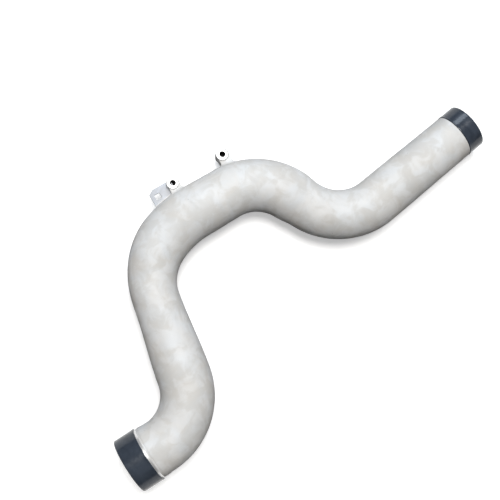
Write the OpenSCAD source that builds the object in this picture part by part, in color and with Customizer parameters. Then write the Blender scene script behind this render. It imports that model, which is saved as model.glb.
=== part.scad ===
// Cast aluminium intercooler pipe with two tapped lugs, a clip tab and a push-on cap on each mouth.
// The pipe is drawn as a bending table: each run starts where the last one ended, heading along +X,
// and a bend turns left about +Z when its angle is positive. The whole is then laid down as it rests.

/* [Mouths] */
// Outside diameter of the lower hose spigot
lower_spigot_d = 90; // [70:0.5:110]
// Length of the lower spigot, from its mouth to the machined shoulder
lower_spigot_len = 41; // [38:1:60]
// Outside diameter of the upper hose spigot
upper_spigot_d = 76; // [60:0.5:84]
// Length of the upper spigot, from its mouth to the shoulder
upper_spigot_len = 28; // [24:1:50]
// Height of the bead near each mouth that keeps the hose on
bead_h = 0.8; // [0.4:0.1:2]
// Distance from a mouth to the crest of its bead
bead_at = 7; // [5:0.5:12]
// Radius of the bead's section
bead_r = 3; // [2:0.5:4]
// Chamfer on the outer edge of each mouth
mouth_chamfer = 1; // [0.5:0.1:1.5]

/* [Tube] */
// Thickness of the cast wall
wall = 4.5; // [3:0.5:6]
// Outside diameter of the cast tube beside the lower spigot
lower_d = 91; // [88:0.5:110]
// Outside diameter round the elbow
elbow_d = 89; // [80:0.5:96]
// Outside diameter at the waist, where the tube is narrowest
waist_d = 78; // [70:0.5:90]
// Outside diameter round the shoulder bend
shoulder_d = 90.4; // [84:0.2:96]
// Outside diameter round the crown bend
crown_d = 89; // [84:0.5:96]
// Outside diameter round the dip bend
dip_d = 83; // [78:0.5:90]
// Outside diameter of the cast tube beside the upper spigot
upper_d = 80.4; // [79:0.2:90]

/* [Route] */
// Straight cast run between the lower spigot and the elbow
lower_run = 16; // [5:1:60]
// Bend radius of the elbow
elbow_bend_r = 95; // [80:1:140]
// Angle of the elbow
elbow_angle = 77.5; // [60:0.5:90]
// Twist from the elbow's plane to the plane of the other bends
plane_twist = 6; // [0:0.5:12]
// Straight run between the elbow and the waist
waist_run = 132; // [100:1:170]
// Bend radius of the shoulder bend, whose section grows from the waist
shoulder_bend_r = 110; // [90:1:140]
// Angle over which the section grows
shoulder_angle = 60; // [45:1:70]
// Bend radius of the slack end of the shoulder bend
slack_bend_r = 180; // [140:1:240]
// Angle of the slack end of the shoulder bend
slack_angle = 19; // [10:1:25]
// Straight run along the lugs
lug_run = 60; // [40:1:90]
// Bend radius of the crown bend
crown_bend_r = 101; // [85:1:130]
// Angle of the crown bend
crown_angle = 63.5; // [50:0.5:75]
// Straight run between the crown and the dip
slope_run = 31; // [10:1:60]
// Bend radius of the dip bend
dip_bend_r = 103; // [85:1:130]
// Angle of the dip bend
dip_angle = 72; // [60:1:85]
// Straight cast run between the dip and the upper spigot
upper_run = 179; // [120:1:240]

/* [Lugs] */
// Distance between the centres of the two lug holes
lug_spacing = 96; // [70:1:120]
// Place of the first hole along the lug run, counted from the run's start
first_lug_at = -9; // [-15:1:10]
// Distance from the tube's axis to the lug holes
lug_reach = 59; // [56:0.5:72]
// Width of a lug's stem
stem_w = 20; // [16:0.5:26]
// Height of a stem's top face above the tube's axis
stem_rise = 9; // [4:0.5:16]
// Depth of a stem's lower face below the tube's axis
stem_drop = 13; // [8:0.5:20]
// Fillet where a stem widens into the tube
stem_fillet = 5; // [2:0.5:8]
// Outside diameter of a boss
boss_d = 21.5; // [18:0.5:28]
// Height of a boss's machined face above the tube's axis
boss_rise = 11; // [10:0.5:20]
// Depth of a boss's lower end below the tube's axis
boss_drop = 15; // [10:0.5:24]
// Chamfer round a boss's machined face
boss_chamfer = 0.6; // [0.2:0.1:1.5]
// Diameter drilled for the tapped hole
tap_drill_d = 8.5; // [5:0.1:10.2]
// Depth of the tapped hole
tap_depth = 20; // [12:1:22]
// Depth of the countersink at the hole's mouth
countersink = 1; // [0.3:0.1:2]
// Width of the small flat that the drill's chisel edge leaves at the bottom
drill_flat = 1; // [0.5:0.1:2]

/* [Clip tab] */
// Length of the tab along the pipe, from the first hole's centre
tab_len = 43; // [36:1:60]
// Distance from the tube's axis to the tab's outer edge
tab_reach = 67.5; // [62:0.5:80]
// Thickness of the tab
tab_t = 4; // [3:0.5:8]
// Height of the tab's top face above the tube's axis
tab_rise = -1; // [-6:0.5:4]
// Length of the tab's cut corner along the pipe
tab_cut_len = 9; // [4:0.5:14]
// Depth of the tab's cut corner across the pipe
tab_cut_depth = 5; // [2:0.5:10]
// Side of the square clip hole
clip_hole = 10; // [6:0.5:12]
// Corner radius of the clip hole
clip_hole_r = 2; // [0.5:0.5:2.5]
// Place of the clip hole from the tab's end
clip_from_end = 11.5; // [9:0.5:16]
// Place of the clip hole from the tab's outer edge
clip_from_edge = 14.5; // [10:0.5:18]

/* [Caps] */
// Depth of the lower cap outside
lower_cap_depth = 37; // [30:1:40]
// Depth of the upper cap outside
upper_cap_depth = 30; // [24:1:30]
// Wall of a cap
cap_wall = 1.4; // [1:0.1:2.5]
// Thickness of a cap's closed end
cap_floor = 2.4; // [1.5:0.1:4]
// Radius round a cap's closed end
cap_round = 2.2; // [1:0.1:3]
// Gap between a hose bead and the inside of its cap
cap_gap = 0.1; // [0.05:0.05:0.4]
// Width of the roll at a cap's open rim
cap_roll_w = 3; // [2:0.5:5]
// Height of the roll at a cap's open rim
cap_roll_h = 0.4; // [0.2:0.1:1]

/* [Hidden] */
$fn = 96;
// Sides and rings of the bend whose section grows, and steps of a straight taper
loft_sides = 64;
loft_rings = 12;
taper_steps = 8;
// Each run stops this much short of the next, which leaves a hairline of this depth round the joint
run_gap = 0.02;
hairline_depth = 0.4;
// Lengths of the discs that join two runs, in the casting and in its bore
casting_disc_len = 2;
bore_disc_len = 0.1;
// How much wider the spigots are bored than the cast runs behind them
bore_step = 0.4;
// How far a cut runs past what it cuts
over = 1;
// Half the angle of a twist drill's point
drill_half_angle = 59;
// How far under the tube's surface a stem's fillets start
root_sink = 3.5;
// How the part lies on the floor: the lower shoulder's place, and the turns that lay it down
shoulder_at = [-356.25, -141.95, 50.66];
lie_down_turn = [-2.977, -4.714, -6.761];

// Radii of the cast tube at the ends of its runs, from the lower mouth to the upper one
lower_r = lower_d / 2;
elbow_r = elbow_d / 2;
waist_r = waist_d / 2;
shoulder_r = shoulder_d / 2;
crown_r = crown_d / 2;
dip_r = dip_d / 2;
upper_r = upper_d / 2;

// How near the tube's axis the stems and the tab start, before the bore cuts them off
foot_at = 0.6 * shoulder_r;

// The bending table: kind, length or bend radius, angle, radius at the start and at the end
ROUTE = [
    ["straight", lower_run, 0, lower_r, elbow_r],
    ["bend", elbow_bend_r, elbow_angle, elbow_r, elbow_r],
    ["twist", 0, plane_twist, elbow_r, elbow_r],
    ["straight", waist_run, 0, elbow_r, waist_r],
    ["bend", shoulder_bend_r, -shoulder_angle, waist_r, shoulder_r],
    ["bend", slack_bend_r, -slack_angle, shoulder_r, shoulder_r],
    ["straight", lug_run, 0, shoulder_r, crown_r],
    ["bend", crown_bend_r, -crown_angle, crown_r, crown_r],
    ["straight", slope_run, 0, crown_r, dip_r],
    ["bend", dip_bend_r, dip_angle, dip_r, dip_r],
    ["straight", upper_run, 0, dip_r, upper_r]
];
LUG_RUN_INDEX = 6;
SPIGOT_ENDS = len(ROUTE);

// A smooth change from 0 to 1 that starts and ends level
function ease(t) = t * t * (3 - 2 * t);
function between(a, b, t) = a + (b - a) * ease(t);

// Carries its children from the start of a run to its end
module step_over(run) {
    if (run[0] == "straight") {
        translate([run[1], 0, 0]) children();
    } else if (run[0] == "bend") {
        side = sign(run[2]);
        translate([0, side * run[1], 0])
            rotate([0, 0, run[2]])
                translate([0, -side * run[1], 0])
                    children();
    } else {
        rotate([run[2], 0, 0]) children();
    }
}

// Places its children where run n of the table starts
module at_run(n) {
    if (n == 0) {
        children();
    } else {
        at_run(n - 1) step_over(ROUTE[n - 1]) children();
    }
}

module laid_down() {
    translate(shoulder_at) rotate(lie_down_turn) children();
}

// A straight run whose radius changes smoothly
module taper_straight(length, r_start, r_end) {
    reach = length - 2 * run_gap;
    side_points = [
        for (i = [0 : taper_steps])
            [between(r_start, r_end, i / taper_steps), run_gap + reach * i / taper_steps]
    ];
    rotate([0, 90, 0])
        rotate_extrude()
            polygon(concat([[0, run_gap]], side_points, [[0, length - run_gap]]));
}

// A bend of one section, about a centre on its left
module even_bend(bend_r, angle, r) {
    short = asin(run_gap / bend_r);
    translate([0, bend_r, 0])
        rotate([0, 0, short - 90])
            rotate_extrude(angle = angle - 2 * short)
                translate([bend_r, 0]) circle(r = r);
}

// One ring of a growing bend's skin, at an angle along the bend
function skin_ring(bend_r, angle, r) = [
    for (k = [0 : loft_sides - 1])
        let (
            turn = 360 * k / loft_sides,
            reach = bend_r - r * cos(turn)
        )
        [reach * sin(angle), bend_r - reach * cos(angle), r * sin(turn)]
];

// A bend whose section grows smoothly along it, lofted from ring to ring
module growing_bend(bend_r, angle, r_start, r_end) {
    short = asin(run_gap / bend_r);
    points = [
        for (i = [0 : loft_rings])
            each skin_ring(
                bend_r,
                short + (angle - 2 * short) * i / loft_rings,
                between(r_start, r_end, i / loft_rings)
            )
    ];
    sides = [
        for (i = [0 : loft_rings - 1], k = [0 : loft_sides - 1])
            let (
                here = i * loft_sides,
                next = here + loft_sides,
                k2 = (k + 1) % loft_sides
            )
            [here + k, next + k, next + k2, here + k2]
    ];
    first_end = [for (k = [0 : loft_sides - 1]) k];
    last_end = [for (k = [loft_sides - 1 : -1 : 0]) loft_rings * loft_sides + k];
    polyhedron(points = points, faces = concat([first_end, last_end], sides), convexity = 4);
}

// The solid of one run, with its surface moved in by inset
module run_solid(run, inset) {
    r_start = run[3] - inset;
    r_end = run[4] - inset;
    if (run[0] == "straight") {
        taper_straight(run[1], r_start, r_end);
    } else if (run[0] == "bend") {
        mirror([0, run[2] < 0 ? 1 : 0, 0])
            if (r_start == r_end) {
                even_bend(run[1], abs(run[2]), r_start);
            } else {
                growing_bend(run[1], abs(run[2]), r_start, r_end);
            }
    }
}

// A disc that joins two runs across their gap
module joint_disc(length, r) {
    rotate([0, 90, 0]) cylinder(h = length, r = r, center = true);
}

// The runs with their surface moved in by inset, joined by discs of a size relative to that surface
module whole_route(inset, disc_len, disc_step) {
    for (n = [0 : len(ROUTE) - 1])
        if (ROUTE[n][0] != "twist")
            at_run(n) {
                run_solid(ROUTE[n], inset);
                if (n > 0) joint_disc(disc_len, ROUTE[n][3] - inset + disc_step);
            }
}

// A hose spigot from inside its shoulder out to its mouth, along +X
module hose_spigot(length, spigot_r) {
    rotate([0, 90, 0]) {
        rotate_extrude()
            polygon([
                [0, -over],
                [spigot_r, -over],
                [spigot_r, length - mouth_chamfer],
                [spigot_r - mouth_chamfer, length],
                [0, length]
            ]);
        translate([0, 0, length - bead_at])
            rotate_extrude()
                translate([spigot_r + bead_h - bead_r, 0]) circle(r = bead_r);
    }
}

// The bore of a spigot, which also joins on to the bore of the cast run behind the shoulder
module spigot_bore(length, bore_r) {
    rotate([0, 90, 0])
        translate([0, 0, -over]) cylinder(h = length + 2 * over, r = bore_r + bore_step);
}

// Places its children at a shoulder, heading out to the mouth
module at_lower_end() {
    mirror([1, 0, 0]) children();
}

module at_upper_end() {
    at_run(SPIGOT_ENDS) children();
}

// Plan of a lug's stem: round at the hole, and filleted where it leaves the tube
module stem_plan(root) {
    translate([0, lug_reach]) circle(d = stem_w);
    translate([-stem_w / 2, foot_at]) square([stem_w, lug_reach - foot_at]);
    for (side = [0, 1])
        mirror([side, 0])
            translate([stem_w / 2, root])
                difference() {
                    translate([-over, -over * 3]) square([stem_fillet + over, stem_fillet + over * 3]);
                    translate([stem_fillet, stem_fillet]) circle(r = stem_fillet);
                }
}

// One lug at the origin of the lug run, its root at the given distance from the tube's axis
module lug(root) {
    translate([0, 0, -stem_drop])
        linear_extrude(stem_rise + stem_drop) stem_plan(root);
    translate([0, lug_reach, -boss_drop])
        cylinder(h = boss_drop + boss_rise - boss_chamfer, d = boss_d);
    translate([0, lug_reach, boss_rise - boss_chamfer])
        cylinder(h = boss_chamfer, d1 = boss_d, d2 = boss_d - 2 * boss_chamfer);
}

// The tapped hole of a lug: drilled blind, with a drill point below and a countersink above
module lug_hole() {
    drill_point = (tap_drill_d - drill_flat) / 2 / tan(drill_half_angle);
    translate([0, lug_reach, boss_rise]) {
        translate([0, 0, -tap_depth]) cylinder(h = tap_depth + over, d = tap_drill_d);
        translate([0, 0, -tap_depth - drill_point])
            cylinder(h = drill_point, d1 = drill_flat, d2 = tap_drill_d);
        translate([0, 0, -countersink])
            cylinder(h = countersink + over, d1 = tap_drill_d, d2 = tap_drill_d + 2 * (countersink + over));
    }
}

// Plan of the clip tab, measured from the first hole's centre line
module tab_plan() {
    difference() {
        polygon([
            [0, foot_at],
            [0, tab_reach],
            [-tab_len + tab_cut_len, tab_reach],
            [-tab_len, tab_reach - tab_cut_depth],
            [-tab_len, foot_at]
        ]);
        translate([-tab_len + clip_from_end, tab_reach - clip_from_edge]) clip_hole_plan();
    }
}

module clip_hole_plan() {
    flat = clip_hole - 2 * clip_hole_r;
    square([clip_hole, flat], center = true);
    square([flat, clip_hole], center = true);
    for (x = [-flat / 2, flat / 2], y = [-flat / 2, flat / 2])
        translate([x, y]) circle(r = clip_hole_r);
}

module clip_tab() {
    translate([0, 0, tab_rise - tab_t]) linear_extrude(tab_t) tab_plan();
}

// Distance from the tube's axis line to the crown's flank beside the second lug
second_lug_past = first_lug_at + lug_spacing - lug_run;
crown_flank = sqrt(pow(crown_bend_r + crown_r, 2) - pow(second_lug_past, 2)) - crown_bend_r;
LUGS = [
    [first_lug_at, shoulder_r - root_sink],
    [first_lug_at + lug_spacing, min(crown_flank, crown_r) - root_sink]
];

// The casting: tube, spigots, lugs and tab in one piece
module pipe_casting() {
    color([0.72, 0.73, 0.73])
        laid_down()
            difference() {
                union() {
                    whole_route(0, casting_disc_len, -hairline_depth);
                    at_lower_end() hose_spigot(lower_spigot_len, lower_spigot_d / 2);
                    at_upper_end() hose_spigot(upper_spigot_len, upper_spigot_d / 2);
                    at_run(LUG_RUN_INDEX) {
                        for (place = LUGS)
                            translate([place[0], 0, 0]) lug(place[1]);
                        translate([first_lug_at, 0, 0]) clip_tab();
                    }
                }
                whole_route(wall, bore_disc_len, hairline_depth);
                at_lower_end() spigot_bore(lower_spigot_len, lower_r - wall);
                at_upper_end() spigot_bore(upper_spigot_len, upper_r - wall);
                at_run(LUG_RUN_INDEX)
                    for (place = LUGS)
                        translate([place[0], 0, 0]) lug_hole();
            }
}

// A moulded cap over a spigot, with its closed end against the mouth
module end_cap(spigot_len, spigot_r, depth) {
    bore_r = spigot_r + bead_h + cap_gap;
    outer_r = bore_r + cap_wall;
    rotate([0, 90, 0])
        translate([0, 0, spigot_len + cap_floor - depth])
            rotate_extrude()
                difference() {
                    union() {
                        square([outer_r - cap_round, depth]);
                        square([outer_r, depth - cap_round]);
                        translate([outer_r - cap_round, depth - cap_round]) circle(r = cap_round);
                        square([outer_r + cap_roll_h, cap_roll_w]);
                    }
                    translate([-over, -over]) square([bore_r + over, depth - cap_floor + over]);
                    translate([-2 * outer_r, -over]) square([2 * outer_r, depth + 2 * over]);
                }
}

module lower_end_cap() {
    color([0.14, 0.16, 0.19])
        laid_down()
            at_lower_end()
                end_cap(lower_spigot_len, lower_spigot_d / 2, lower_cap_depth);
}

module upper_end_cap() {
    color([0.14, 0.16, 0.19])
        laid_down()
            at_upper_end()
                end_cap(upper_spigot_len, upper_spigot_d / 2, upper_cap_depth);
}

pipe_casting();
lower_end_cap();
upper_end_cap();
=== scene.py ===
# Cast aluminium intercooler pipe with a push-on cap on each mouth, on a pale studio floor.
import math

import bmesh
import bpy
import numpy as np
from mathutils import Matrix, Vector


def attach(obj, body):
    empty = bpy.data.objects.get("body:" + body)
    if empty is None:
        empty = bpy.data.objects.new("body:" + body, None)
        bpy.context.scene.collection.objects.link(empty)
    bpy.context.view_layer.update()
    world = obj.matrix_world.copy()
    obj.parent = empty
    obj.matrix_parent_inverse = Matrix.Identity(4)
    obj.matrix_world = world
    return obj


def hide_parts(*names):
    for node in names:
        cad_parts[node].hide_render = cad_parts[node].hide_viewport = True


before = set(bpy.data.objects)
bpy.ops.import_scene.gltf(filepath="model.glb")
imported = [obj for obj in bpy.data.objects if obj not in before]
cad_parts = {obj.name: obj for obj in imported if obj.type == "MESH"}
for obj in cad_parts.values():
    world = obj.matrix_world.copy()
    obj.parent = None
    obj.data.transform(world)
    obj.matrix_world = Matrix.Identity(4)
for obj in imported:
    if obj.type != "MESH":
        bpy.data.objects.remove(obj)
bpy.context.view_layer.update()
mm = 0.001
print("frame loaded")


# Camera, set where the photograph was taken from
camera = {
    "place": (-0.2738, -0.0170, 1.8566),
    "right": (0.7653, -0.6364, 0.0967),
    "up": (0.6290, 0.7712, 0.0982),
    "back": (-0.1370, -0.0143, 0.9905),
    "lens": 79.2,
    "film": 36.0,
}


def addCamera(spec):
    data = bpy.data.cameras.new("camera")
    data.lens = spec["lens"]
    data.sensor_width = spec["film"]
    data.clip_start = 0.05
    data.clip_end = 50.0
    cam = bpy.data.objects.new("camera", data)
    bpy.context.scene.collection.objects.link(cam)
    axes = Matrix((spec["right"], spec["up"], spec["back"])).transposed()
    cam.matrix_world = Matrix.Translation(Vector(spec["place"])) @ axes.to_4x4()
    bpy.context.scene.camera = cam


addCamera(camera)


# Small helpers for node trees and meshes
def addNode(tree, kind, inputs=None, **settings):
    node = tree.nodes.new(kind)
    for name, value in settings.items():
        setattr(node, name, value)
    for name, value in (inputs or {}).items():
        if isinstance(value, bpy.types.NodeSocket):
            tree.links.new(value, node.inputs[name])
        else:
            node.inputs[name].default_value = value
    return node


def doMath(tree, operation, first, second=0.0, third=0.0):
    node = addNode(tree, "ShaderNodeMath", {0: first, 1: second, 2: third}, operation=operation)
    return node.outputs[0]


def doVector(tree, operation, first, second=(0, 0, 0), scale=None):
    inputs = {0: first, 1: second}
    if scale is not None:
        inputs["Scale"] = scale
    node = addNode(tree, "ShaderNodeVectorMath", inputs, operation=operation)
    return node.outputs[0]


def newGroup(name, kind, inputs, outputs):
    group = bpy.data.node_groups.new(name, kind)
    for way, sockets in (("INPUT", inputs), ("OUTPUT", outputs)):
        for label, socketType, start in sockets:
            socket = group.interface.new_socket(label, in_out=way, socket_type=socketType)
            if start is not None:
                socket.default_value = start
    source = group.nodes.new("NodeGroupInput")
    sink = group.nodes.new("NodeGroupOutput")
    return group, source.outputs, sink.inputs


def turned(degrees, axis):
    return Matrix.Rotation(math.radians(degrees), 4, axis)


weld = {"rings": 0.003, "points": 0.002, "edges": 0.001}    # gaps that close and edges that go (mm)


def cleanMesh(mesh):
    bm = bmesh.new()
    bm.from_mesh(mesh)
    bmesh.ops.remove_doubles(bm, verts=bm.verts, dist=weld["points"] * mm)
    bmesh.ops.dissolve_degenerate(bm, edges=bm.edges, dist=weld["edges"] * mm)
    # a sliver left by the fill of a curve has no edge that it shares with exactly one other face
    stray = [face for face in bm.faces if all(len(edge.link_faces) != 2 for edge in face.edges)]
    bmesh.ops.delete(bm, geom=stray, context="FACES_ONLY")
    bmesh.ops.recalc_face_normals(bm, faces=bm.faces)
    bm.to_mesh(mesh)
    bm.free()


# Materials
def cloudPatches():
    # soft blotches, as a blasted casting shows where it was handled and washed
    group, given, out = newGroup(
        "cloudPatches", "ShaderNodeTree",
        [("Vector", "NodeSocketVector", None),
         ("Patch Size", "NodeSocketFloat", 30.0),
         ("Sharpness", "NodeSocketFloat", 0.5),
         ("Dark", "NodeSocketColor", (0.5, 0.5, 0.5, 1)),
         ("Light", "NodeSocketColor", (0.7, 0.7, 0.7, 1))],
        [("Color", "NodeSocketColor", None), ("Mask", "NodeSocketFloat", None)])
    place = doVector(group, "SCALE", given["Vector"], scale=given["Patch Size"])
    broad = addNode(group, "ShaderNodeTexNoise", {"Vector": place, "Scale": 1.0, "Detail": 5.0,
                                                  "Roughness": 0.55, "Distortion": 0.6})
    low = doMath(group, "MULTIPLY", given["Sharpness"], 0.5)
    high = doMath(group, "SUBTRACT", 1.0, low)
    mask = addNode(group, "ShaderNodeMapRange", {"Value": broad.outputs["Fac"], "From Min": low,
                                                 "From Max": high}, interpolation_type="SMOOTHSTEP")
    mixed = addNode(group, "ShaderNodeMix", {0: mask.outputs[0], 6: given["Dark"], 7: given["Light"]},
                    data_type="RGBA")
    group.links.new(mixed.outputs[2], out["Color"])
    group.links.new(mask.outputs[0], out["Mask"])
    return group


def fineGrain():
    # the peened skin that blasting leaves, and the faint grain of a moulding
    group, given, out = newGroup(
        "fineGrain", "ShaderNodeTree",
        [("Vector", "NodeSocketVector", None),
         ("Grain Size", "NodeSocketFloat", 1500.0),
         ("Lumps", "NodeSocketFloat", 160.0)],
        [("Height", "NodeSocketFloat", None)])
    grain = addNode(group, "ShaderNodeTexNoise", {"Vector": given["Vector"], "Scale": given["Grain Size"],
                                                  "Detail": 3.0, "Roughness": 0.6})
    lumps = addNode(group, "ShaderNodeTexNoise", {"Vector": given["Vector"], "Scale": given["Lumps"],
                                                  "Detail": 4.0, "Roughness": 0.5})
    height = doMath(group, "MULTIPLY_ADD", lumps.outputs["Fac"], 2.0, grain.outputs["Fac"])
    group.links.new(height, out["Height"])
    return group


def pits():
    # small scattered pores and dents
    group, given, out = newGroup(
        "pits", "ShaderNodeTree",
        [("Vector", "NodeSocketVector", None),
         ("Spacing", "NodeSocketFloat", 45.0),
         ("Pit Size", "NodeSocketFloat", 0.08)],
        [("Mask", "NodeSocketFloat", None)])
    cells = addNode(group, "ShaderNodeTexVoronoi", {"Vector": given["Vector"], "Scale": given["Spacing"]},
                    feature="F1")
    edge = addNode(group, "ShaderNodeMapRange", {"Value": cells.outputs["Distance"], "From Min": 0.0,
                                                 "From Max": given["Pit Size"], "To Min": 1.0,
                                                 "To Max": 0.0}, interpolation_type="SMOOTHSTEP")
    chosen = addNode(group, "ShaderNodeSeparateColor", {"Color": cells.outputs["Color"]})
    some = doMath(group, "GREATER_THAN", chosen.outputs[0], 0.62)
    group.links.new(doMath(group, "MULTIPLY", edge.outputs[0], some), out["Mask"])
    return group


effects = {"cloudPatches": cloudPatches(), "fineGrain": fineGrain(), "pits": pits()}


def newMaterial(name):
    material = bpy.data.materials.new(name)
    material.use_nodes = True
    tree = material.node_tree
    tree.nodes.clear()
    shader = tree.nodes.new("ShaderNodeBsdfPrincipled")
    end = tree.nodes.new("ShaderNodeOutputMaterial")
    tree.links.new(shader.outputs[0], end.inputs["Surface"])
    where = addNode(tree, "ShaderNodeTexCoord").outputs["Object"]
    return material, tree, shader, where


def addEffect(tree, name, inputs):
    return addNode(tree, "ShaderNodeGroup", inputs, node_tree=effects[name]).outputs


def clouds(tree, where, size, sharpness, dark, light):
    return addEffect(tree, "cloudPatches", {"Vector": where, "Patch Size": size, "Sharpness": sharpness,
                                            "Dark": dark, "Light": light})


def grainHeight(tree, where, finish):
    return addEffect(tree, "fineGrain", {"Vector": where, "Grain Size": finish["grainSize"],
                                         "Lumps": finish["lumps"]})["Height"]


def blend(tree, mode, share, first, second):
    node = addNode(tree, "ShaderNodeMix", {0: share, 6: first, 7: second},
                   data_type="RGBA", blend_type=mode)
    return node.outputs[2]


def dress(tree, shader, finish, colour, mask, height=None):
    # the colour, a roughness that follows the mask, and the fine relief
    atDark, atLight = finish["roughness"]
    rough = addNode(tree, "ShaderNodeMapRange", {"Value": mask, "To Min": atDark, "To Max": atLight})
    tree.links.new(colour, shader.inputs["Base Color"])
    tree.links.new(rough.outputs[0], shader.inputs["Roughness"])
    shader.inputs["Metallic"].default_value = finish["metallic"]
    shader.inputs["Specular IOR Level"].default_value = finish["specular"]
    if height is not None:
        bump = addNode(tree, "ShaderNodeBump", {"Strength": finish["bump"], "Distance": finish["bumpDepth"],
                                                "Height": height})
        tree.links.new(bump.outputs[0], shader.inputs["Normal"])


castFinish = {
    "patchSize": 14.0, "patchSharpness": 0.45,
    "stainSize": 40.0, "stainSharpness": 0.8,
    "stainDark": (0.94, 0.935, 0.93, 1), "stainLight": (1.04, 1.05, 1.07, 1),
    "tintSize": 27.0, "tintSharpness": 0.5,
    "tintWarm": (1.015, 0.995, 0.975, 1), "tintCool": (0.985, 1.0, 1.02, 1),
    "poreSpacing": 38.0, "poreSize": 0.055, "poreDepth": 2.0,
    "poreShare": 0.45, "poreColour": (0.2, 0.19, 0.19, 1),
    "grainSize": 1500.0, "lumps": 170.0, "bump": 0.35, "bumpDepth": 0.0003,
    "roughness": (0.72, 0.62), "metallic": 0.05, "specular": 0.12,
}


def castSkin(name, dark, light):
    material, tree, shader, where = newMaterial(name)
    finish = castFinish
    broad = clouds(tree, where, finish["patchSize"], finish["patchSharpness"], dark, light)
    stains = clouds(tree, where, finish["stainSize"], finish["stainSharpness"],
                    finish["stainDark"], finish["stainLight"])
    tints = clouds(tree, where, finish["tintSize"], finish["tintSharpness"],
                   finish["tintWarm"], finish["tintCool"])
    pores = addEffect(tree, "pits", {"Vector": where, "Spacing": finish["poreSpacing"],
                                     "Pit Size": finish["poreSize"]})["Mask"]
    colour = blend(tree, "MULTIPLY", 1.0, broad["Color"], stains["Color"])
    colour = blend(tree, "MULTIPLY", 1.0, colour, tints["Color"])
    poreShare = doMath(tree, "MULTIPLY", pores, finish["poreShare"])
    colour = blend(tree, "MIX", poreShare, colour, finish["poreColour"])
    poreDepth = doMath(tree, "MULTIPLY", pores, finish["poreDepth"])
    height = doMath(tree, "SUBTRACT", grainHeight(tree, where, finish), poreDepth)
    dress(tree, shader, finish, colour, stains["Mask"], height)
    return material


machinedFace = {
    "patchSize": 60.0, "patchSharpness": 0.4,
    "dark": (0.70, 0.70, 0.70, 1), "light": (0.79, 0.79, 0.785, 1),
    "grainSize": 2200.0, "lumps": 500.0, "bump": 0.12, "bumpDepth": 0.0001,
    "roughness": (0.38, 0.3), "metallic": 0.6, "specular": 0.5,
}
shadedThreadWall = {      # the tapped holes' walls are painted near black: painted shade for the dark inside of the deep holes
    "patchSize": 300.0, "patchSharpness": 0.5,
    "dark": (0.02, 0.02, 0.02, 1), "light": (0.06, 0.058, 0.055, 1),
    "roughness": (0.5, 0.35), "metallic": 0.0, "specular": 0.5,
}
capPlastic = {
    "patchSize": 55.0, "patchSharpness": 0.5,
    "dark": (0.030, 0.038, 0.052, 1), "light": (0.046, 0.057, 0.076, 1),
    "grainSize": 1800.0, "lumps": 90.0, "bump": 0.06, "bumpDepth": 0.0002,
    "roughness": (0.15, 0.23), "metallic": 0.0, "specular": 0.28,
}


def filmed(name, finish):
    # a smooth surface under a thin, patchy film
    material, tree, shader, where = newMaterial(name)
    film = clouds(tree, where, finish["patchSize"], finish["patchSharpness"],
                  finish["dark"], finish["light"])
    height = grainHeight(tree, where, finish) if "grainSize" in finish else None
    dress(tree, shader, finish, film["Color"], film["Mask"], height)
    return material


finishes = {
    "cast": castSkin("castSkin", (0.60, 0.595, 0.58, 1), (0.70, 0.70, 0.69, 1)),
    # the clip tab's copy of the cast skin is darker and bluer: the same metal, with painted shade and a
    # painted cool cast
    "tab": castSkin("castTabShaded", (0.47, 0.49, 0.525, 1), (0.55, 0.57, 0.605, 1)),
    "machined": filmed("machinedFace", machinedFace),
    "thread": filmed("shadedThreadWall", shadedThreadWall),
    "cap": filmed("capPlastic", capPlastic),
}
print("materials made")


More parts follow.
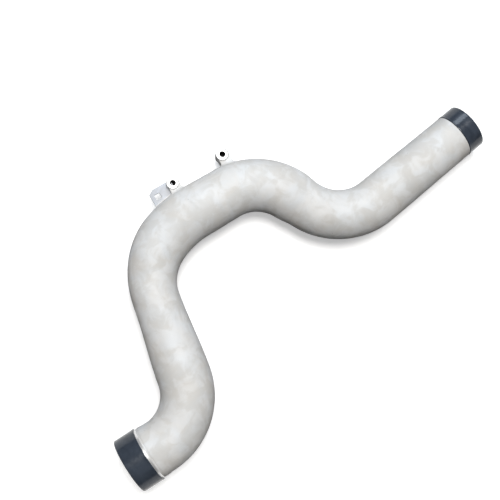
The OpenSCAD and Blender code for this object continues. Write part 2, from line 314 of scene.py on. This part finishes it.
# Skin over a row of rings: every turned or swept form here is such a row
def ringSkinTree():
    tree, given, out = newGroup(
        "ringSkin", "GeometryNodeTree",
        [("Rings", "NodeSocketGeometry", None),
         ("Sides", "NodeSocketInt", 96),
         ("Wave Depth", "NodeSocketFloat", 0.0),
         ("Wave Size", "NodeSocketFloat", 0.03),
         ("Thread Pitch", "NodeSocketFloat", 0.0015),
         ("Thread Depth", "NodeSocketFloat", 0.0),
         ("Seed", "NodeSocketFloat", 3.0),
         ("Main Material", "NodeSocketMaterial", None),
         ("Machined Material", "NodeSocketMaterial", None)],
        [("Skin", "NodeSocketGeometry", None)])
    rings = given["Rings"]
    count = addNode(tree, "GeometryNodeAttributeDomainSize", {0: rings}).outputs["Point Count"]
    columns = doMath(tree, "ADD", given["Sides"], 1.0)
    grid = addNode(tree, "GeometryNodeMeshGrid", {"Vertices X": count, "Vertices Y": columns})
    index = addNode(tree, "GeometryNodeInputIndex").outputs[0]

    def readRing(name, kind, ringIndex):
        if name == "position":
            value = addNode(tree, "GeometryNodeInputPosition").outputs[0]
        else:
            field = addNode(tree, "GeometryNodeInputNamedAttribute", {"Name": name}, data_type=kind)
            value = field.outputs[0]
        return addNode(tree, "GeometryNodeSampleIndex", {0: rings, "Value": value, "Index": ringIndex},
                       data_type=kind).outputs[0]

    ring = doMath(tree, "FLOOR", doMath(tree, "DIVIDE", doMath(tree, "ADD", index, 0.5), columns))
    column = doMath(tree, "FLOORED_MODULO", index, columns)
    share = doMath(tree, "DIVIDE", doMath(tree, "FLOORED_MODULO", column, given["Sides"]), given["Sides"])
    angle = doMath(tree, "MULTIPLY", share, math.tau)
    across = doVector(tree, "SCALE", readRing("ringSide", "FLOAT_VECTOR", ring),
                      scale=doMath(tree, "COSINE", angle))
    upwards = doVector(tree, "SCALE", readRing("ringUp", "FLOAT_VECTOR", ring),
                       scale=doMath(tree, "SINE", angle))
    outwards = doVector(tree, "ADD", across, upwards)
    centre = readRing("position", "FLOAT_VECTOR", ring)
    radius = readRing("ringRadius", "FLOAT", ring)

    # the cast skin dips in and out a little
    plain = doVector(tree, "ADD", centre, doVector(tree, "SCALE", outwards, scale=radius))
    noise = addNode(tree, "ShaderNodeTexNoise", {"Vector": plain, "W": given["Seed"], "Detail": 2.0,
                                                 "Scale": doMath(tree, "DIVIDE", 1.0, given["Wave Size"])},
                    noise_dimensions="4D").outputs[0]
    dip = doMath(tree, "MULTIPLY", doMath(tree, "MULTIPLY", noise, given["Wave Depth"]),
                 readRing("ringWave", "FLOAT", ring))

    # a screw thread: the wall moves in and out with the turn and the depth
    depth = doMath(tree, "DIVIDE", readRing("ringAlong", "FLOAT", ring), given["Thread Pitch"])
    phase = doMath(tree, "FRACT", doMath(tree, "SUBTRACT", depth, share))
    flank = doMath(tree, "ABSOLUTE", doMath(tree, "MULTIPLY_ADD", phase, 2.0, -1.0))
    crest = doMath(tree, "MULTIPLY", doMath(tree, "MULTIPLY", flank, given["Thread Depth"]),
                   readRing("ringThread", "FLOAT", ring))

    radius = doMath(tree, "SUBTRACT", doMath(tree, "SUBTRACT", radius, dip), crest)
    place = doVector(tree, "ADD", centre, doVector(tree, "SCALE", outwards, scale=radius))
    skin = addNode(tree, "GeometryNodeSetPosition", {"Geometry": grid.outputs["Mesh"],
                                                     "Position": place}).outputs[0]

    # each face takes its material from the ring before it
    faceRow = doMath(tree, "DIVIDE", doMath(tree, "ADD", index, 0.5), given["Sides"])
    faceRing = doMath(tree, "FLOOR", faceRow)
    isMachined = doMath(tree, "GREATER_THAN", readRing("ringMachined", "FLOAT", faceRing), 0.5)
    skin = addNode(tree, "GeometryNodeSetMaterial", {"Geometry": skin,
                                                     "Material": given["Main Material"]}).outputs[0]
    skin = addNode(tree, "GeometryNodeSetMaterial", {"Geometry": skin, "Selection": isMachined,
                                                     "Material": given["Machined Material"]}).outputs[0]
    skin = addNode(tree, "GeometryNodeMergeByDistance", {"Geometry": skin,
                                                         "Distance": weld["rings"] * mm}).outputs[0]
    skin = addNode(tree, "GeometryNodeRealizeInstances", {"Geometry": skin}).outputs[0]
    tree.links.new(skin, out["Skin"])
    return tree


ringSkin = ringSkinTree()
ringFields = ("ringRadius", "ringWave", "ringAlong", "ringThread", "ringMachined")


def ring(matrix, along, radius, machined=0.0, wave=0.0, thread=0.0):
    # one ring about the X axis of the matrix; sizes in mm
    centre = matrix @ Vector((along, 0, 0))
    side = (matrix.to_3x3() @ Vector((0, 1, 0))).normalized()
    up = (matrix.to_3x3() @ Vector((0, 0, 1))).normalized()
    return {"centre": centre * mm, "side": side, "up": up, "ringRadius": radius * mm, "ringWave": wave,
            "ringAlong": along * mm, "ringThread": thread, "ringMachined": machined}


def skinOver(name, rings, settings, main, machined):
    mesh = bpy.data.meshes.new(name)
    mesh.from_pydata([r["centre"] for r in rings], [], [])
    for field in ringFields:
        mesh.attributes.new(field, "FLOAT", "POINT").data.foreach_set("value", [r[field] for r in rings])
    for field, key in (("ringSide", "side"), ("ringUp", "up")):
        flat = [c for r in rings for c in r[key]]
        mesh.attributes.new(field, "FLOAT_VECTOR", "POINT").data.foreach_set("vector", flat)
    holder = bpy.data.objects.new(name + "Rings", mesh)
    bpy.context.scene.collection.objects.link(holder)
    modifier = holder.modifiers.new("ringSkin", "NODES")
    modifier.node_group = ringSkin
    sockets = {s.name: s.identifier for s in ringSkin.interface.items_tree if s.in_out == "INPUT"}
    for label, value in {**settings, "Main Material": main, "Machined Material": machined}.items():
        modifier[sockets[label]] = value
    bpy.context.view_layer.update()
    evaluated = holder.evaluated_get(bpy.context.evaluated_depsgraph_get())
    plain = bpy.data.meshes.new_from_object(evaluated)
    plain.name = name
    holder.modifiers.remove(modifier)
    bpy.data.objects.remove(holder)
    bpy.data.meshes.remove(mesh)
    cleanMesh(plain)
    return plain


def joinMeshes(name, meshes, materials):
    bm = bmesh.new()
    for mesh in meshes:
        first = len(bm.faces)
        bm.from_mesh(mesh)
        bm.faces.ensure_lookup_table()
        slots = [materials.index(m) if m in materials else 0 for m in mesh.materials] or [0]
        for face in bm.faces[first:]:
            face.material_index = slots[min(face.material_index, len(slots) - 1)]
    joined = bpy.data.meshes.new(name)
    bm.to_mesh(joined)
    bm.free()
    for field in list(joined.attributes.keys()):
        if field.startswith("ring"):
            joined.attributes.remove(joined.attributes[field])
    for material in materials:
        joined.materials.append(material)
    piece = bpy.data.objects.new(name, joined)
    bpy.context.scene.collection.objects.link(piece)
    return piece


def softenShading(piece):
    sharpFrom = 32      # degrees between two faces
    piece.data.polygons.foreach_set("use_smooth", [True] * len(piece.data.polygons))
    piece.data.set_sharp_from_angle(angle=math.radians(sharpFrom))


# The pipe from its lower shoulder to its upper one (mm); each run is its kind, its length or bend radius,
# its angle, and the tube's radius at either end
pipe = {
    "runs": (
        ("straight", 16, 0, 45.5, 44.5),
        ("bend", 95, 77.5, 44.5, 44.5),
        ("twist", 0, 6, 44.5, 44.5),
        ("straight", 132, 0, 44.5, 39),
        ("bend", 110, -60, 39, 45.2),
        ("bend", 180, -19, 45.2, 45.2),
        ("straight", 60, 0, 45.2, 44.5),
        ("bend", 101, -63.5, 44.5, 44.5),
        ("straight", 31, 0, 44.5, 41.5),
        ("bend", 103, 72, 41.5, 41.5),
        ("straight", 179, 0, 41.5, 40.2),
    ),
    "shoulderAt": (-356.25, -141.95, 50.66),
    "layDownTurn": (-2.977, -4.714, -6.761),
    "lugRun": 6,
    "wall": 4.5,
    "boreStep": 0.4,
    "outerStep": 3.2,       # spacing of the rings outside
    "innerStep": 8.0,       # and in the bore
    "sides": 128,
    "waveDepth": 0.22,      # unevenness of the cast skin, always inwards
    "waveSize": 30.0,
    "machinedFrom": 3.5,    # the bright cut on the lower spigot ends this far short of its shoulder
    "lowerEdge": ((0.05, 0.12), (0.3, 0.0)),    # the lower shoulder's soft edge: how far in, how much less
    "upperEdgeFrom": 1.2, "upperEdgeMiddle": (0.35, 0.25), "upperEdgeDrop": 0.9,
    "upperEdgeWave": 0.6,
    "boreLead": 0.5,        # the lower spigot's wider bore goes this far past its shoulder
}
lowerSpigot = {"radius": 45.0, "length": 41.0}
upperSpigot = {"radius": 38.0, "length": 28.0}
spigotForm = {
    "beadAt": 7.0, "beadRadius": 3.0, "beadHeight": 0.8, "beadSteps": 6,
    "chamfer": 1.0, "soften": 0.35,
    "relief": 0.35, "reliefEnd": 1.3, "reliefSlope": 0.2,       # the lathe's undercut at the shoulder
    "reliefCorner": 0.15, "reliefLead": 1.9,
}


def ease(t):
    return t * t * (3 - 2 * t)


def stepInto(run, share):
    # the move from a run's start to a share of its length
    kind, size, angle = run[:3]
    if kind == "straight":
        return Matrix.Translation((size * share, 0, 0))
    if kind == "twist":
        return turned(angle * share, "X")
    toCentre = Matrix.Translation((0, math.copysign(size, angle), 0))
    return toCentre @ turned(angle * share, "Z") @ toCentre.inverted()


def runStarts(spec):
    x, y, z = spec["layDownTurn"]
    place = Matrix.Translation(spec["shoulderAt"]) @ turned(z, "Z") @ turned(y, "Y") @ turned(x, "X")
    starts = [place]
    for run in spec["runs"]:
        place = place @ stepInto(run, 1)
        starts.append(place)
    return starts


starts = runStarts(pipe)
lowerEnd = starts[0] @ turned(180, "Z")     # heading out of the lower mouth
upperEnd = starts[-1]


def stations(spec, step):
    # (matrix, radius) from the lower shoulder to the upper one, with the twist taken back out
    rows = []
    untwist = Matrix.Identity(4)
    for start, run in zip(starts, spec["runs"]):
        kind, size, angle, startRadius, endRadius = run
        if kind == "twist":
            untwist = turned(-angle, "X") @ untwist
            continue
        length = size if kind == "straight" else size * math.radians(abs(angle))
        count = max(2, round(length / step))
        for i in range(count if run is not spec["runs"][-1] else count + 1):
            radius = startRadius + (endRadius - startRadius) * ease(i / count)
            rows.append((start @ stepInto(run, i / count) @ untwist, radius))
    return rows


def spigotOutline(spigot, form, shoulderRadius):
    # (distance from the shoulder, radius) from the mouth's inner edge back to the shoulder
    length, radius, chamfer, soft = spigot["length"], spigot["radius"], form["chamfer"], form["soften"]
    bore = shoulderRadius - pipe["wall"] + pipe["boreStep"]
    # the mouth, with its corners broken
    points = [(length - soft, bore), (length - soft * 0.3, bore + soft * 0.3), (length, bore + soft)]
    points += [(length, radius - chamfer - soft * 0.3)]
    points += [(length - soft * 0.3, radius - chamfer + soft * 0.2)]
    points += [(length - chamfer + soft * 0.2, radius - soft * 0.3)]
    points += [(length - chamfer - soft * 0.4, radius)]
    # the bead that holds the hose
    rise = form["beadRadius"] - form["beadHeight"]
    reach = math.acos(rise / form["beadRadius"])
    for i in range(2 * form["beadSteps"] + 1):
        turn = reach * (1 - i / form["beadSteps"])
        points.append((length - form["beadAt"] + form["beadRadius"] * math.sin(turn),
                       radius - rise + form["beadRadius"] * math.cos(turn)))
    # the plain stretch, then the undercut
    neck, bottom = form["reliefEnd"], radius - form["relief"]
    points += [(share * length, radius) for share in (0.6, 0.4, 0.2)]
    points += [(neck + form["reliefLead"], radius), (neck, radius)]
    points += [(neck - form["reliefSlope"], bottom), (form["reliefCorner"], bottom)]
    points += [(0.0, radius + form["reliefCorner"])]
    return points


def tubeRings():
    lowerFrame, upperFrame = starts[0], starts[-1]
    untwist = turned(-sum(run[2] for run in pipe["runs"] if run[0] == "twist"), "X")
    rows = []
    lowerRadius = pipe["runs"][0][3]
    upperRadius = pipe["runs"][-1][4]
    for away, radius in spigotOutline(lowerSpigot, spigotForm, lowerRadius):
        rows.append(ring(lowerFrame, -away, radius, machined=1 if away > pipe["machinedFrom"] else 0))
    for inwards, less in pipe["lowerEdge"]:
        rows.append(ring(lowerFrame, inwards, lowerRadius - less))
    for matrix, radius in stations(pipe, pipe["outerStep"])[1:-1]:
        rows.append(ring(matrix, 0, radius, wave=1))
    last = upperFrame @ untwist
    middle, dip = pipe["upperEdgeMiddle"]
    rows.append(ring(last, -pipe["upperEdgeFrom"], upperRadius, wave=pipe["upperEdgeWave"]))
    rows.append(ring(last, -middle, upperRadius - dip))
    rows.append(ring(last, 0.0, upperRadius - pipe["upperEdgeDrop"], machined=1))
    for away, radius in reversed(spigotOutline(upperSpigot, spigotForm, upperRadius)):
        rows.append(ring(last, away, radius, machined=1))
    # and back through the bore
    upperBore = upperRadius - pipe["wall"] + pipe["boreStep"]
    lowerBore = lowerRadius - pipe["wall"] + pipe["boreStep"]
    rows.append(ring(last, 0.0, upperBore, machined=1))
    for matrix, radius in reversed(stations(pipe, pipe["innerStep"])[1:-1]):
        rows.append(ring(matrix, 0, radius - pipe["wall"], wave=-1))
    rows.append(ring(lowerFrame, pipe["boreLead"], lowerBore, machined=1))
    rows.append(dict(rows[0]))
    return rows


tubeSettings = {"Sides": pipe["sides"], "Wave Depth": pipe["waveDepth"] * mm,
                "Wave Size": pipe["waveSize"] * mm}
tube = skinOver("tube", tubeRings(), tubeSettings, finishes["cast"], finishes["machined"])
print("tube:", len(tube.polygons), "faces")


# The lugs and the tab grow out of the tube beside the shoulder bend (mm, in the lug run's own frame)
lugs = {
    "places": (-9.0, 87.0),
    "reach": 59.0,
    "stemWidth": 20.0, "stemRise": 9.0, "stemDrop": 13.0,
    "stemBore": 7.6,        # the stem is open inside the boss, which holds the tapped hole
    "bossWidth": 21.5, "bossRise": 11.0, "bossDrop": 15.0,
    "bossChamfer": 0.6, "bossSoften": 0.1, "bossFootRound": 1.5, "bossRows": (-8.0, 0.0, 6.0),
    "rootFillet": 5.0,
    "edgeRound": 1.2,
    "threadRadius": 5.0, "threadPitch": 1.5, "threadDepth": 0.75, "ringsPerTurn": 10,
    "holeDepth": 20.0, "plainDepth": 3.0,       # the thread stops short of the hole's end
    "countersink": 0.6,
    "drillFlat": 0.5, "drillHalfAngle": 59, "drillLead": 1.4,
    "footStart": 38.0, "footLine": 42.0,        # the reach at which outlines start, and at which feet end
    "footSunk": 2.0,                            # how deep the feet sit in the tube's wall
    "searchFrom": 30.0, "searchTo": 75.0,       # reaches between which the tube's skin is looked for,
    "lineStep": 4.0,                            # and the spacing of the centre line that it is measured from
}
tab = {
    "length": 43.0, "reach": 67.5, "thick": 4.0, "rise": -1.0,
    "cutLength": 9.0, "cutDepth": 5.0,
    "hole": 10.0, "holeRound": 2.0, "holeFromEnd": 11.5, "holeFromEdge": 14.5,
    "edgeRound": 0.6, "rootFillet": 2.0, "rootShort": 2.0,
}
lugFrame = starts[pipe["lugRun"]]
centreLine = [(m @ Vector((0, 0, 0)), r) for m, r in stations(pipe, lugs["lineStep"])]
linePoints = np.array([p for p, r in centreLine])
lineRadii = np.array([r for p, r in centreLine])


def outsideTube(points):
    # how far points lie outside the tube's skin, in mm
    here, step = linePoints[:-1], linePoints[1:] - linePoints[:-1]
    gap = points[:, None, :] - here[None]
    share = np.clip((gap * step).sum(-1) / (step * step).sum(-1), 0, 1)
    away = np.linalg.norm(gap - share[..., None] * step, axis=-1)
    return (away - (lineRadii[:-1] + share * (lineRadii[1:] - lineRadii[:-1]))).min(axis=1)


def reachAt(section, distances):
    # for section points (x, z), the reach y at which each lies at its distance outside the tube
    turn = np.array(lugFrame.to_3x3())
    origin = np.array(lugFrame.translation)
    low = np.full(len(section), lugs["searchFrom"])
    high = np.full(len(section), lugs["searchTo"])
    for _ in range(30):     # each pass halves the stretch that is left
        middle = (low + high) / 2
        points = np.stack([section[:, 0], middle, section[:, 1]], axis=1) @ turn.T + origin
        tooFar = outsideTube(points) > distances
        high = np.where(tooFar, middle, high)
        low = np.where(tooFar, low, middle)
    return (low + high) / 2


def roundedBox(xLow, xHigh, zLow, zHigh, radius, cornerSteps=5, sideSteps=6):
    # a closed section with rounded corners, and the way out at each point
    corners = ((xHigh - radius, zHigh - radius, 0), (xLow + radius, zHigh - radius, 90),
               (xLow + radius, zLow + radius, 180), (xHigh - radius, zLow + radius, 270))
    arcs = []
    for x, z, startAngle in corners:
        for i in range(cornerSteps + 1):
            angle = math.radians(startAngle + 90 * i / cornerSteps)
            way = (math.cos(angle), math.sin(angle))
            arcs.append(((x + radius * way[0], z + radius * way[1]), way))
    points, ways = [], []
    for i, (point, way) in enumerate(arcs):
        points.append(point)
        ways.append(way)
        if i % (cornerSteps + 1) == cornerSteps:
            nextPoint = arcs[(i + 1) % len(arcs)][0]
            for k in range(1, sideSteps):
                share = k / sideSteps
                points.append((point[0] + (nextPoint[0] - point[0]) * share,
                               point[1] + (nextPoint[1] - point[1]) * share))
                ways.append(way)
    return np.array(points), np.array(ways)


def filletSkirt(name, section, ways, fillet, steps=8, inset=0.02, sink=0.3):
    # a closed shell that flares from the section's walls into the tube's skin
    levels = [(-inset, fillet * 1.02)]
    for i in range(steps + 1):
        turn = math.radians(90 * i / steps)
        levels.append((fillet * (1 - math.cos(turn)) - inset, fillet * (1 - math.sin(turn))))
    levels.append((fillet + sink * 0.6, -sink))
    verts, faces = [], []
    size = len(section)
    for outwards, distance in levels:
        spread = section + ways * outwards
        reaches = reachAt(spread, np.full(size, distance))
        verts += [Vector((x, y, z)) for (x, z), y in zip(spread, reaches)]
    for level in range(len(levels) - 1):
        for k in range(size):
            a, b = level * size + k, level * size + (k + 1) % size
            faces.append((a, b, b + size, a + size))
    for level in (0, len(levels) - 1):
        middle = sum((verts[level * size + k] for k in range(size)), Vector()) / size
        verts.append(middle)
        faces += [(level * size + k, level * size + (k + 1) % size, len(verts) - 1) for k in range(size)]
    mesh = bpy.data.meshes.new(name)
    mesh.from_pydata([lugFrame @ v * mm for v in verts], [], faces)
    mesh.materials.append(finishes["cast"])
    cleanMesh(mesh)
    return mesh


def plate(name, loops, zLow, zHigh, edgeRound, finish):
    # a flat outline with round edges and any holes, its foot let into the tube's wall
    curve = bpy.data.curves.new(name, "CURVE")
    curve.dimensions = "2D"
    curve.fill_mode = "BOTH"
    curve.extrude = (zHigh - zLow) / 2 - edgeRound
    curve.bevel_depth = edgeRound
    curve.bevel_resolution = 3
    curve.offset = -edgeRound
    for loop in loops:
        spline = curve.splines.new("POLY")
        spline.points.add(len(loop) - 1)
        spline.use_cyclic_u = True
        for point, (x, y) in zip(spline.points, loop):
            point.co = (x, y, 0, 1)
    holder = bpy.data.objects.new(name, curve)
    bpy.context.scene.collection.objects.link(holder)
    bpy.context.view_layer.update()
    mesh = bpy.data.meshes.new_from_object(holder.evaluated_get(bpy.context.evaluated_depsgraph_get()))
    bpy.data.objects.remove(holder)
    mesh.transform(Matrix.Translation((0, 0, (zLow + zHigh) / 2)))
    feet = [v for v in mesh.vertices if v.co.y < lugs["footLine"]]
    section = np.array([(v.co.x, v.co.z) for v in feet])
    for vertex, reach in zip(feet, reachAt(section, np.full(len(feet), -lugs["footSunk"]))):
        vertex.co.y = reach
    mesh.transform(Matrix.Scale(mm, 4) @ lugFrame)
    mesh.materials.clear()
    mesh.materials.append(finishes[finish])
    cleanMesh(mesh)
    return mesh


def arcPoints(x, y, radius, startAngle, endAngle, steps):
    angles = [math.radians(startAngle + (endAngle - startAngle) * i / steps) for i in range(steps + 1)]
    return [(x + radius * math.cos(a), y + radius * math.sin(a)) for a in angles]


def stem(name, at):
    half, foot = lugs["stemWidth"] / 2, lugs["footStart"]
    outline = [(at + half, foot)] + arcPoints(at, lugs["reach"], half, 0, 180, 32) + [(at - half, foot)]
    clear = arcPoints(at, lugs["reach"], lugs["stemBore"], 0, 360, 40)[:-1]
    return plate(name, [outline, clear], -lugs["stemDrop"], lugs["stemRise"], lugs["edgeRound"], "cast")


def boss(name, at):
    radius, rise, drop = lugs["bossWidth"] / 2, lugs["bossRise"], lugs["bossDrop"]
    chamfer, soft, foot = lugs["bossChamfer"], lugs["bossSoften"], lugs["bossFootRound"]
    crest, sink = lugs["threadRadius"], lugs["countersink"]
    upright = lugFrame @ Matrix.Translation((at, lugs["reach"], 0)) @ turned(-90, "Y")
    # the outside, from the middle of the foot up
    rows = [ring(upright, -drop, 0.0)]
    for i in range(7):
        angle = math.radians(90 * i / 6)
        rows.append(ring(upright, -drop + foot * (1 - math.cos(angle)),
                         radius - foot * (1 - math.sin(angle))))
    rows += [ring(upright, z, radius) for z in lugs["bossRows"]]
    rows.append(ring(upright, rise - chamfer - soft, radius))
    # the machined face
    rows.append(ring(upright, rise - chamfer, radius - soft * 0.3, machined=1))
    rows.append(ring(upright, rise - soft * 0.6, radius - chamfer + soft * 0.4, machined=1))
    rows.append(ring(upright, rise, radius - chamfer - soft * 0.8, machined=1))
    rows.append(ring(upright, rise, crest + sink, machined=1))
    rows.append(ring(upright, rise - sink, crest, machined=1))
    # the thread, which deepens over its first turn
    perTurn = lugs["ringsPerTurn"]
    turns = (lugs["holeDepth"] - lugs["plainDepth"]) / lugs["threadPitch"]
    for i in range(int(turns * perTurn) + 1):
        along = rise - sink - lugs["threadPitch"] * (i + 1) / perTurn
        lead = min(1.0, (i + 1) / perTurn)
        rows.append(ring(upright, along, crest, machined=1, thread=lead))
    # the drilled end
    drill, flat = crest - lugs["threadDepth"], lugs["drillFlat"]
    end = rise - lugs["holeDepth"]
    point = end - (drill - flat) / math.tan(math.radians(lugs["drillHalfAngle"]))
    for along, size in ((end + lugs["drillLead"], drill), (end, drill), (point, flat), (point, 0.0)):
        rows.append(ring(upright, along, size, machined=1))
    settings = {"Sides": 72, "Thread Pitch": lugs["threadPitch"] * mm,
                "Thread Depth": lugs["threadDepth"] * mm}
    mesh = skinOver(name, rows, settings, finishes["cast"], finishes["machined"])
    # the walls of the tapped hole take the near-black painted shade
    mesh.materials.append(finishes["thread"])
    toBoss = upright.inverted()
    slack = 0.05
    for face in mesh.polygons:
        spot = toBoss @ (face.center / mm)
        if spot.x < rise - sink and math.hypot(spot.y, spot.z) < crest + slack:
            face.material_index = len(mesh.materials) - 1
    return mesh


def clipTab():
    start, foot = lugs["places"][0], lugs["footStart"]
    end = start - tab["length"]
    x, y = end + tab["holeFromEnd"], tab["reach"] - tab["holeFromEdge"]
    outline = [(start, foot), (start, tab["reach"]), (end + tab["cutLength"], tab["reach"]),
               (end, tab["reach"] - tab["cutDepth"]), (end, foot)]
    flat, r = tab["hole"] / 2 - tab["holeRound"], tab["holeRound"]
    hole = []
    for sideX, sideY, startAngle in ((1, 1, 0), (-1, 1, 90), (-1, -1, 180), (1, -1, 270)):
        hole += arcPoints(x + sideX * flat, y + sideY * flat, r, startAngle, startAngle + 90, 6)
    # the tab takes the darker, bluer copy of the cast skin, which is painted shade
    return plate("clipTab", [outline, hole], tab["rise"] - tab["thick"], tab["rise"],
                 tab["edgeRound"], "tab")


def castDetails():
    parts = [clipTab()]
    for number, at in enumerate(lugs["places"]):
        half = lugs["stemWidth"] / 2
        section, ways = roundedBox(at - half, at + half, -lugs["stemDrop"], lugs["stemRise"],
                                   lugs["edgeRound"])
        parts.append(stem("stem%d" % number, at))
        parts.append(filletSkirt("stemRoot%d" % number, section, ways, lugs["rootFillet"]))
        parts.append(boss("boss%d" % number, at))
    start = lugs["places"][0]
    section, ways = roundedBox(start - tab["length"], start - tab["rootShort"],
                               tab["rise"] - tab["thick"], tab["rise"], tab["edgeRound"], sideSteps=16)
    parts.append(filletSkirt("tabRoot", section, ways, tab["rootFillet"]))
    return parts


castPipe = joinMeshes("cast_pipe", [tube] + castDetails(),
                     [finishes[key] for key in ("cast", "machined", "tab", "thread")])
softenShading(castPipe)
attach(castPipe, "root")
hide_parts("pipe_casting")
print("casting:", len(castPipe.data.polygons), "faces")


# The push-on caps (mm)
caps = {
    "wall": 1.4, "floor": 2.4, "round": 2.2, "gap": 0.1, "rollWidth": 3.0, "rollHeight": 0.4,
    "lowerDepth": 37.0, "upperDepth": 30.0,
    "gate": 3.0, "gateDepth": 0.4, "gateSlope": 0.5,    # the moulding gate's dimple in the closed end
    "rollEase": 0.3, "rimRound": 0.25, "rimDrop": 0.2, "innerRound": 0.6,
}


def capOver(name, node, end, spigot, depth):
    bore = spigot["radius"] + spigotForm["beadHeight"] + caps["gap"]
    outer = bore + caps["wall"]
    top = spigot["length"] + caps["floor"]
    rim = top - depth
    dimple, inside = top - caps["gateDepth"], top - caps["floor"]
    # the closed end
    rows = [ring(end, dimple, 0.0), ring(end, dimple, caps["gate"])]
    rows.append(ring(end, top, caps["gate"] + caps["gateSlope"]))
    rows += [ring(end, top, outer * share) for share in (0.3, 0.6, 0.85)]
    for i in range(9):
        angle = math.radians(90 * i / 8)
        rows.append(ring(end, top - caps["round"] * (1 - math.cos(angle)),
                         outer - caps["round"] * (1 - math.sin(angle))))
    rows += [ring(end, rim + (depth - caps["round"]) * share, outer) for share in (0.8, 0.6, 0.4, 0.2)]
    # the roll at the rim
    rollTop = outer + caps["rollHeight"]
    rows.append(ring(end, rim + caps["rollWidth"] + caps["rollEase"], outer))
    for i in range(9):
        angle = math.radians(180 * i / 8)
        rows.append(ring(end, rim + caps["rollWidth"] * (0.5 + 0.5 * math.cos(angle)),
                         rollTop - caps["rollHeight"] * (1 - math.sin(angle)) ** 2))
    rows.append(ring(end, rim, outer - caps["rimDrop"]))
    # the inside
    rows.append(ring(end, rim, bore + caps["rimRound"]))
    rows.append(ring(end, rim + caps["rimRound"], bore))
    rows += [ring(end, rim + (depth - caps["floor"]) * share, bore) for share in (0.3, 0.6, 0.98)]
    rows += [ring(end, inside, radius) for radius in (bore - caps["innerRound"], bore * 0.5, 0.0)]
    mesh = skinOver(name, rows, {"Sides": 128}, finishes["cap"], finishes["cap"])
    cap = joinMeshes(name, [mesh], [finishes["cap"]])
    softenShading(cap)
    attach(cap, "root")
    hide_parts(node)


capOver("lower_cap", "lower_end_cap", lowerEnd, lowerSpigot, caps["lowerDepth"])
capOver("upper_cap", "upper_end_cap", upperEnd, upperSpigot, caps["upperDepth"])
print("caps made")


# Studio: a floor that looks pale but throws little light back, a broad light above, a window to one side
studio = {
    "floorSize": 14.0, "floorSeen": 0.75, "floorGlow": 0.45,
    "floorForObject": (0.04, 0.0372, 0.0344, 1),
    "skylightFrom": (0.24, 0.35, 2.2), "skylightAngle": 24, "skylightPower": 3.3,
    "skylightTint": (1.0, 0.99, 0.97),
    "windowPlace": (1.14, 1.45, 1.45), "windowSize": 0.9, "windowPower": 16.0,
    "windowTint": (0.78, 0.88, 1.0),
    "domeLight": 0.035,
}


def floorMaterial():
    material, tree, shader = newMaterial("floorPaper")[:3]
    path = addNode(tree, "ShaderNodeLightPath").outputs
    seen = doMath(tree, "MAXIMUM", path["Is Camera Ray"],
                  doMath(tree, "MAXIMUM", path["Is Glossy Ray"], path["Is Transmission Ray"]))
    light = studio["floorSeen"]
    colour = blend(tree, "MIX", seen, studio["floorForObject"], (light, light, light, 1))
    tree.links.new(colour, shader.inputs["Base Color"])
    shader.inputs["Roughness"].default_value = 0.9
    shader.inputs["Specular IOR Level"].default_value = 0.0
    shader.inputs["Emission Color"].default_value = (1, 1, 1, 1)
    tree.links.new(doMath(tree, "MULTIPLY", seen, studio["floorGlow"]), shader.inputs["Emission Strength"])
    return material


def addStudio():
    half = studio["floorSize"] / 2
    mesh = bpy.data.meshes.new("floor")
    corners = [(-half, -half, 0), (half, -half, 0), (half, half, 0), (-half, half, 0)]
    mesh.from_pydata(corners, [], [(0, 1, 2, 3)])
    mesh.materials.append(floorMaterial())
    floor = bpy.data.objects.new("floor", mesh)
    bpy.context.scene.collection.objects.link(floor)
    skylight = bpy.data.lights.new("skylight", "SUN")
    skylight.angle = math.radians(studio["skylightAngle"])
    window = bpy.data.lights.new("window", "AREA")
    window.shape = "DISK"
    window.size = studio["windowSize"]
    for data, place in ((skylight, studio["skylightFrom"]), (window, studio["windowPlace"])):
        data.energy = studio[data.name + "Power"]
        data.color = studio[data.name + "Tint"]
        lamp = bpy.data.objects.new(data.name, data)
        lamp.location = place
        lamp.rotation_euler = (-Vector(place)).to_track_quat("-Z", "Y").to_euler()
        bpy.context.scene.collection.objects.link(lamp)
    world = bpy.data.worlds.new("studio")
    world.use_nodes = True
    tree = world.node_tree
    tree.nodes.clear()
    path = addNode(tree, "ShaderNodeLightPath").outputs
    strength = doMath(tree, "MAXIMUM", path["Is Camera Ray"], studio["domeLight"])
    back = addNode(tree, "ShaderNodeBackground", {"Color": (1, 1, 1, 1), "Strength": strength})
    end = tree.nodes.new("ShaderNodeOutputWorld")
    tree.links.new(back.outputs[0], end.inputs["Surface"])
    bpy.context.scene.world = world
    bpy.context.scene.view_settings.view_transform = "Standard"


addStudio()
print("studio set")
